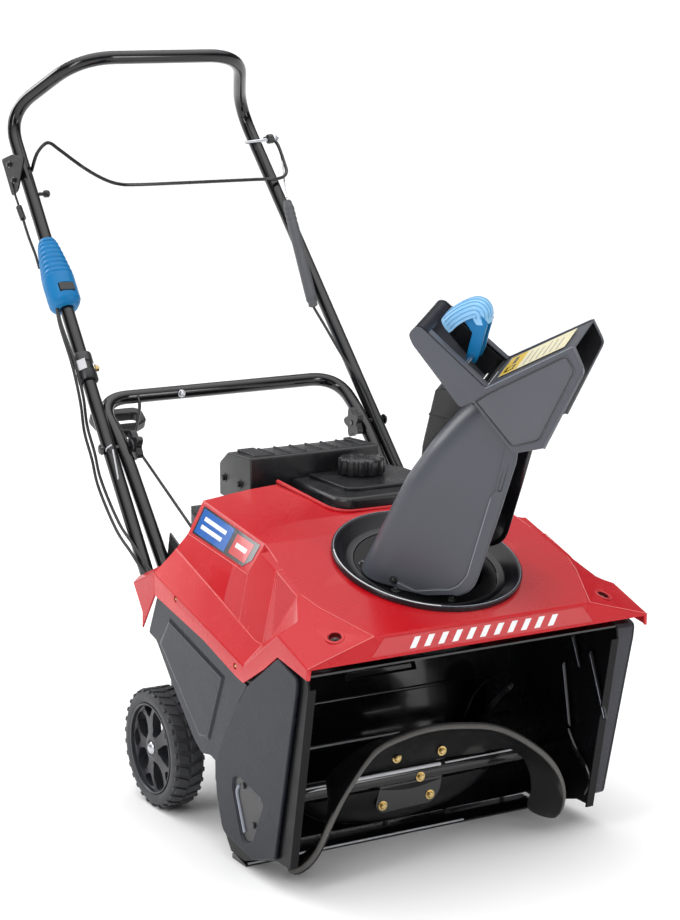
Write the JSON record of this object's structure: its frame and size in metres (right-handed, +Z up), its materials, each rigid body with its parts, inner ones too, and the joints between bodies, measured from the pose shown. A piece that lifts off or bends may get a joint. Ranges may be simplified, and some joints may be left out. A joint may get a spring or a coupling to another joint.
{
  "type": "single stage snowblower",
  "caption": "Walk-behind single stage snow thrower with a paddle rotor, hooded intake, swivelling chute, engine, wheels and a folding handle.",
  "frame": {"origin": "middle of the footprint on the ground", "axes": "+Z up, the snow intake faces -Y, the handle is at +Y, +X is to the right seen from the front"},
  "size_m": [0.545, 1.2094, 1.0899],
  "materials": {
    "red_paint": "gloss red enamel hood",
    "black_plastic": "moulded black plastic",
    "black_steel": "gloss black paint on steel",
    "rubber": "worn black rubber",
    "tyre_rubber": "matt tyre rubber",
    "blue_plastic": "sky blue grip plastic",
    "grey_plastic": "dark grey plastic",
    "zinc": "bright zinc plated steel",
    "cast": "cast aluminium",
    "iron": "dark iron"
  },
  "bodies": {
    "machine": {"auger_housing": "black_steel", "left_side_plate": "black_steel", "right_side_plate": "black_steel", "scraper_bar": "zinc", "left_front_panel": "black_plastic", "right_front_panel": "black_plastic", "left_rear_cover": "black_plastic", "right_rear_cover": "black_plastic", "hood": "red_paint", "chute_ring": "black_plastic", "engine_frame": "black_steel", "engine_block": "cast", "recoil_housing": "black_plastic", "spark_plug": "zinc", "carburettor": "cast", "electric_starter_motor": "black_steel", "muffler": "iron", "muffler_guard": "black_plastic", "fuel_tank": "black_plastic", "rear_shroud": "black_plastic", "axle": "zinc", "lower_handle": "black_steel", "left_fold_bolt": "zinc", "right_fold_bolt": "zinc", "drive_belt": "rubber"},
    "rotor": {"rotor_shaft": "black_steel", "paddle_front": "rubber", "paddle_rear": "rubber", "rotor_pulley": "cast"},
    "crank": {"crankshaft": "zinc", "flywheel": "iron", "engine_pulley": "cast"},
    "idler": {"idler_arm": "zinc"},
    "idler_wheel": {"idler_pulley": "cast"},
    "left_wheel": {"left_wheel_rim": "black_plastic", "left_tyre": "tyre_rubber"},
    "right_wheel": {"right_wheel_rim": "black_plastic", "right_tyre": "tyre_rubber"},
    "chute": {"chute_base": "black_plastic", "chute": "black_plastic"},
    "deflector": {"deflector": "black_plastic"},
    "deflector_trigger": {"deflector_trigger": "blue_plastic"},
    "handle": {"upper_handle": "black_steel", "spring_sleeve": "grey_plastic", "auger_cable": "rubber", "chute_cable": "rubber"},
    "bail": {"bail": "black_steel"},
    "chute_grip": {"chute_grip": "blue_plastic"},
    "grip_trigger": {"grip_trigger": "grey_plastic"},
    "left_knob": {"left_star_knob": "black_plastic"},
    "right_knob": {"right_star_knob": "black_plastic"},
    "starter_pull": {"starter_rope": "rubber", "starter_handle": "black_plastic"},
    "recoil": {"recoil_pulley": "grey_plastic"},
    "fuel_cap": {"fuel_cap": "black_plastic"},
    "ignition_key": {"ignition_key": "grey_plastic"},
    "choke": {"choke_knob": "black_plastic"},
    "primer": {"primer_bulb": "rubber"},
    "start_button": {"start_button": "grey_plastic"}
  },
  "joints": [
    {"name": "rotor_spin", "type": "hinge", "parent": "machine", "child": "rotor", "pos_m": [0, -0.3313, 0.106], "axis": [1, 0, 0], "continuous": true},
    {"name": "crank_spin", "type": "hinge", "parent": "machine", "child": "crank", "pos_m": [0, -0.0993, 0.25], "axis": [1, 0, 0], "continuous": true},
    {"name": "idler_swing", "type": "hinge", "parent": "machine", "child": "idler", "pos_m": [0.25, -0.1623, 0.29], "axis": [1, 0, 0], "range_deg": [0, 8.2]},
    {"name": "idler_spin", "type": "hinge", "parent": "idler", "child": "idler_wheel", "pos_m": [0.247, -0.2378, 0.259], "axis": [1, 0, 0], "continuous": true},
    {"name": "left_wheel_spin", "type": "hinge", "parent": "machine", "child": "left_wheel", "pos_m": [-0.245, -0.0053, 0.0892], "axis": [1, 0, 0], "continuous": true},
    {"name": "right_wheel_spin", "type": "hinge", "parent": "machine", "child": "right_wheel", "pos_m": [0.245, -0.0053, 0.0892], "axis": [1, 0, 0], "continuous": true},
    {"name": "chute_swing", "type": "hinge", "parent": "machine", "child": "chute", "pos_m": [0, -0.3426, 0.4194], "axis": [0, -0.299, 0.9542], "range_deg": [-147, 60]},
    {"name": "deflector_tilt", "type": "hinge", "parent": "chute", "child": "deflector", "pos_m": [0.0174, -0.43939, 0.66363], "axis": [0.7431, 0.6385, 0.2001], "range_deg": [-8, 22]},
    {"name": "deflector_trigger_squeeze", "type": "hinge", "parent": "deflector", "child": "deflector_trigger", "pos_m": [0.00803, -0.4462, 0.72018], "axis": [0.7431, 0.6385, 0.2001], "range_deg": [0, 12], "stiffness_Nm_per_rad": 0.6, "springref_deg": -14.32},
    {"name": "handle_fold", "type": "hinge", "parent": "machine", "child": "handle", "pos_m": [0, 0.1897, 0.504], "axis": [1, 0, 0], "range_deg": [0, 85]},
    {"name": "bail_squeeze", "type": "hinge", "parent": "handle", "child": "bail", "pos_m": [0.022, 0.5467, 0.9165], "axis": [0.9962, 0.0307, 0.081], "range_deg": [-55, 0], "stiffness_Nm_per_rad": 1.5, "springref_deg": 20.05},
    {"name": "chute_grip_slide", "type": "slide", "parent": "handle", "child": "chute_grip", "axis": [0.0347, 0.6602, 0.7502], "range_m": [-0.039, 0.016]},
    {"name": "grip_trigger_press", "type": "slide", "parent": "chute_grip", "child": "grip_trigger", "axis": [-0.0131, 0.7509, -0.6602], "range_m": [0, 0.003], "stiffness_N_per_m": 300, "springref_m": -0.002},
    {"name": "left_knob_turn", "type": "hinge", "parent": "machine", "child": "left_knob", "pos_m": [-0.194, 0.1897, 0.504], "axis": [1, 0, 0], "range_deg": [-360, 360]},
    {"name": "right_knob_turn", "type": "hinge", "parent": "machine", "child": "right_knob", "pos_m": [0.194, 0.1897, 0.504], "axis": [1, 0, 0], "range_deg": [-360, 360]},
    {"name": "starter_pull_out", "type": "slide", "parent": "machine", "child": "starter_pull", "axis": [0, 0.9047, 0.426], "range_m": [0, 0.23], "stiffness_N_per_m": 30, "springref_m": -0.1},
    {"name": "recoil_spin", "type": "hinge", "parent": "machine", "child": "recoil", "pos_m": [-0.122, -0.0993, 0.25], "axis": [1, 0, 0], "range_deg": [-5, 310]},
    {"name": "fuel_cap_turn", "type": "hinge", "parent": "machine", "child": "fuel_cap", "pos_m": [0.062, -0.0583, 0.49], "axis": [0, 0, 1], "range_deg": [0, 270]},
    {"name": "ignition_key_pull", "type": "slide", "parent": "machine", "child": "ignition_key", "axis": [0, 1, 0], "range_m": [0, 0.02]},
    {"name": "choke_turn", "type": "hinge", "parent": "machine", "child": "choke", "pos_m": [-0.035, 0.0607, 0.382], "axis": [0, 1, 0], "range_deg": [0, 90]},
    {"name": "primer_press", "type": "slide", "parent": "machine", "child": "primer", "axis": [0, -1, 0], "range_m": [0, 0.006], "stiffness_N_per_m": 600, "springref_m": -0.002},
    {"name": "start_button_press", "type": "slide", "parent": "machine", "child": "start_button", "axis": [0, -1, 0], "range_m": [0, 0.004], "stiffness_N_per_m": 600, "springref_m": -0.002}
  ],
  "couplings": [
    {"joint": "crank_spin", "follows": "rotor_spin", "ratio": 2.0625},
    {"joint": "idler_swing", "follows": "bail_squeeze", "ratio": -0.145},
    {"joint": "chute_grip_slide", "follows": "chute_swing", "m_per_rad": 0.015},
    {"joint": "recoil_spin", "follows": "starter_pull_out", "rad_per_m": 22.7}
  ]
}
